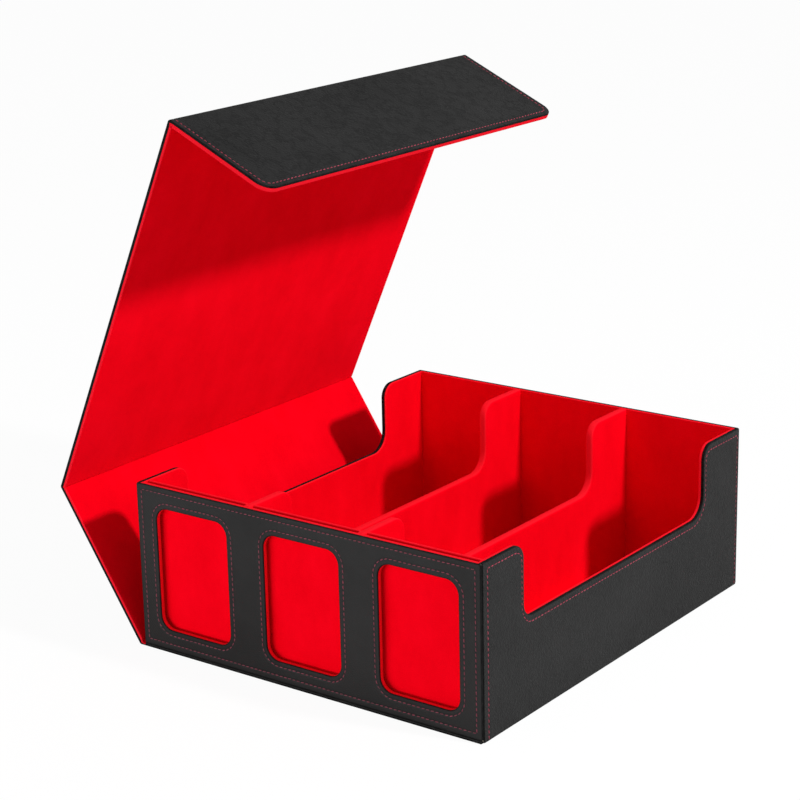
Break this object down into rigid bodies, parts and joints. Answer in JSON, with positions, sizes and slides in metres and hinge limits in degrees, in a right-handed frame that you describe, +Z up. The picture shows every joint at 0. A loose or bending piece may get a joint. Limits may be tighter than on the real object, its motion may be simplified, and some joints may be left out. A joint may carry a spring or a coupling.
{
  "type": "trading card storage box",
  "caption": "Card storage box: a tray with open compartments, scooped side walls and a windowed front that displays cards, under a folding wrap cover with a magnetic flap.",
  "frame": {"origin": "centre of the tray's underside, on the surface that it stands on", "axes": "+X to the right along the windowed front, +Y from the windowed front to the back, +Z up; the cover hinges along the left side"},
  "size_m": [0.3332, 0.306, 0.347],
  "materials": {
    "black_leather": "matte black imitation leather with a fine grain",
    "red_lining": "bright red microfibre suede",
    "greyboard": "raw greyboard, hidden",
    "steel": "thin plain steel, hidden",
    "magnet": "plated disc magnet, hidden"
  },
  "bodies": {
    "tray": {"base_board": "greyboard", "base_leather": "black_leather", "base_fold_leather": "black_leather", "base_fold_lining": "red_lining", "front_leather": "black_leather", "front_board": "greyboard", "front_lining": "red_lining", "pocket_board_1": "greyboard", "pocket_lining_1": "red_lining", "floor_lining_1": "red_lining", "pocket_board_2": "greyboard", "pocket_lining_2": "red_lining", "floor_lining_2": "red_lining", "pocket_board_3": "greyboard", "pocket_lining_3": "red_lining", "floor_lining_3": "red_lining", "back_leather": "black_leather", "back_board": "greyboard", "back_lining": "red_lining", "left_leather": "black_leather", "left_board": "greyboard", "left_lining": "red_lining", "right_leather": "black_leather", "right_board": "greyboard", "right_lining": "red_lining", "steel_plate_1": "steel", "steel_plate_2": "steel", "divider_board_1": "greyboard", "divider_lining_1": "red_lining", "divider_board_2": "greyboard", "divider_lining_2": "red_lining"},
    "spine": {"spine_leather": "black_leather", "spine_board": "greyboard", "spine_lining": "red_lining", "lid_fold_leather": "black_leather", "lid_fold_lining": "red_lining"},
    "lid": {"lid_leather": "black_leather", "lid_board": "greyboard", "lid_lining": "red_lining", "flap_fold_leather": "black_leather", "flap_fold_lining": "red_lining"},
    "flap": {"flap_leather": "black_leather", "flap_board": "greyboard", "flap_lining": "red_lining", "magnet_1": "magnet", "magnet_2": "magnet"}
  },
  "joints": [
    {"name": "spine_hinge", "type": "hinge", "parent": "tray", "child": "spine", "pos_m": [-0.1361, 0, 0.002], "axis": [0, 1, 0], "range_deg": [-56.4, 33.6]},
    {"name": "lid_hinge", "type": "hinge", "parent": "spine", "child": "lid", "pos_m": [-0.19874, 0, 0.09629], "axis": [0, 1, 0], "range_deg": [-57.6, 32.4]},
    {"name": "flap_hinge", "type": "hinge", "parent": "lid", "child": "flap", "pos_m": [-0.08803, 0, 0.34495], "axis": [0, 1, 0], "range_deg": [-90.9, 0]}
  ]
}
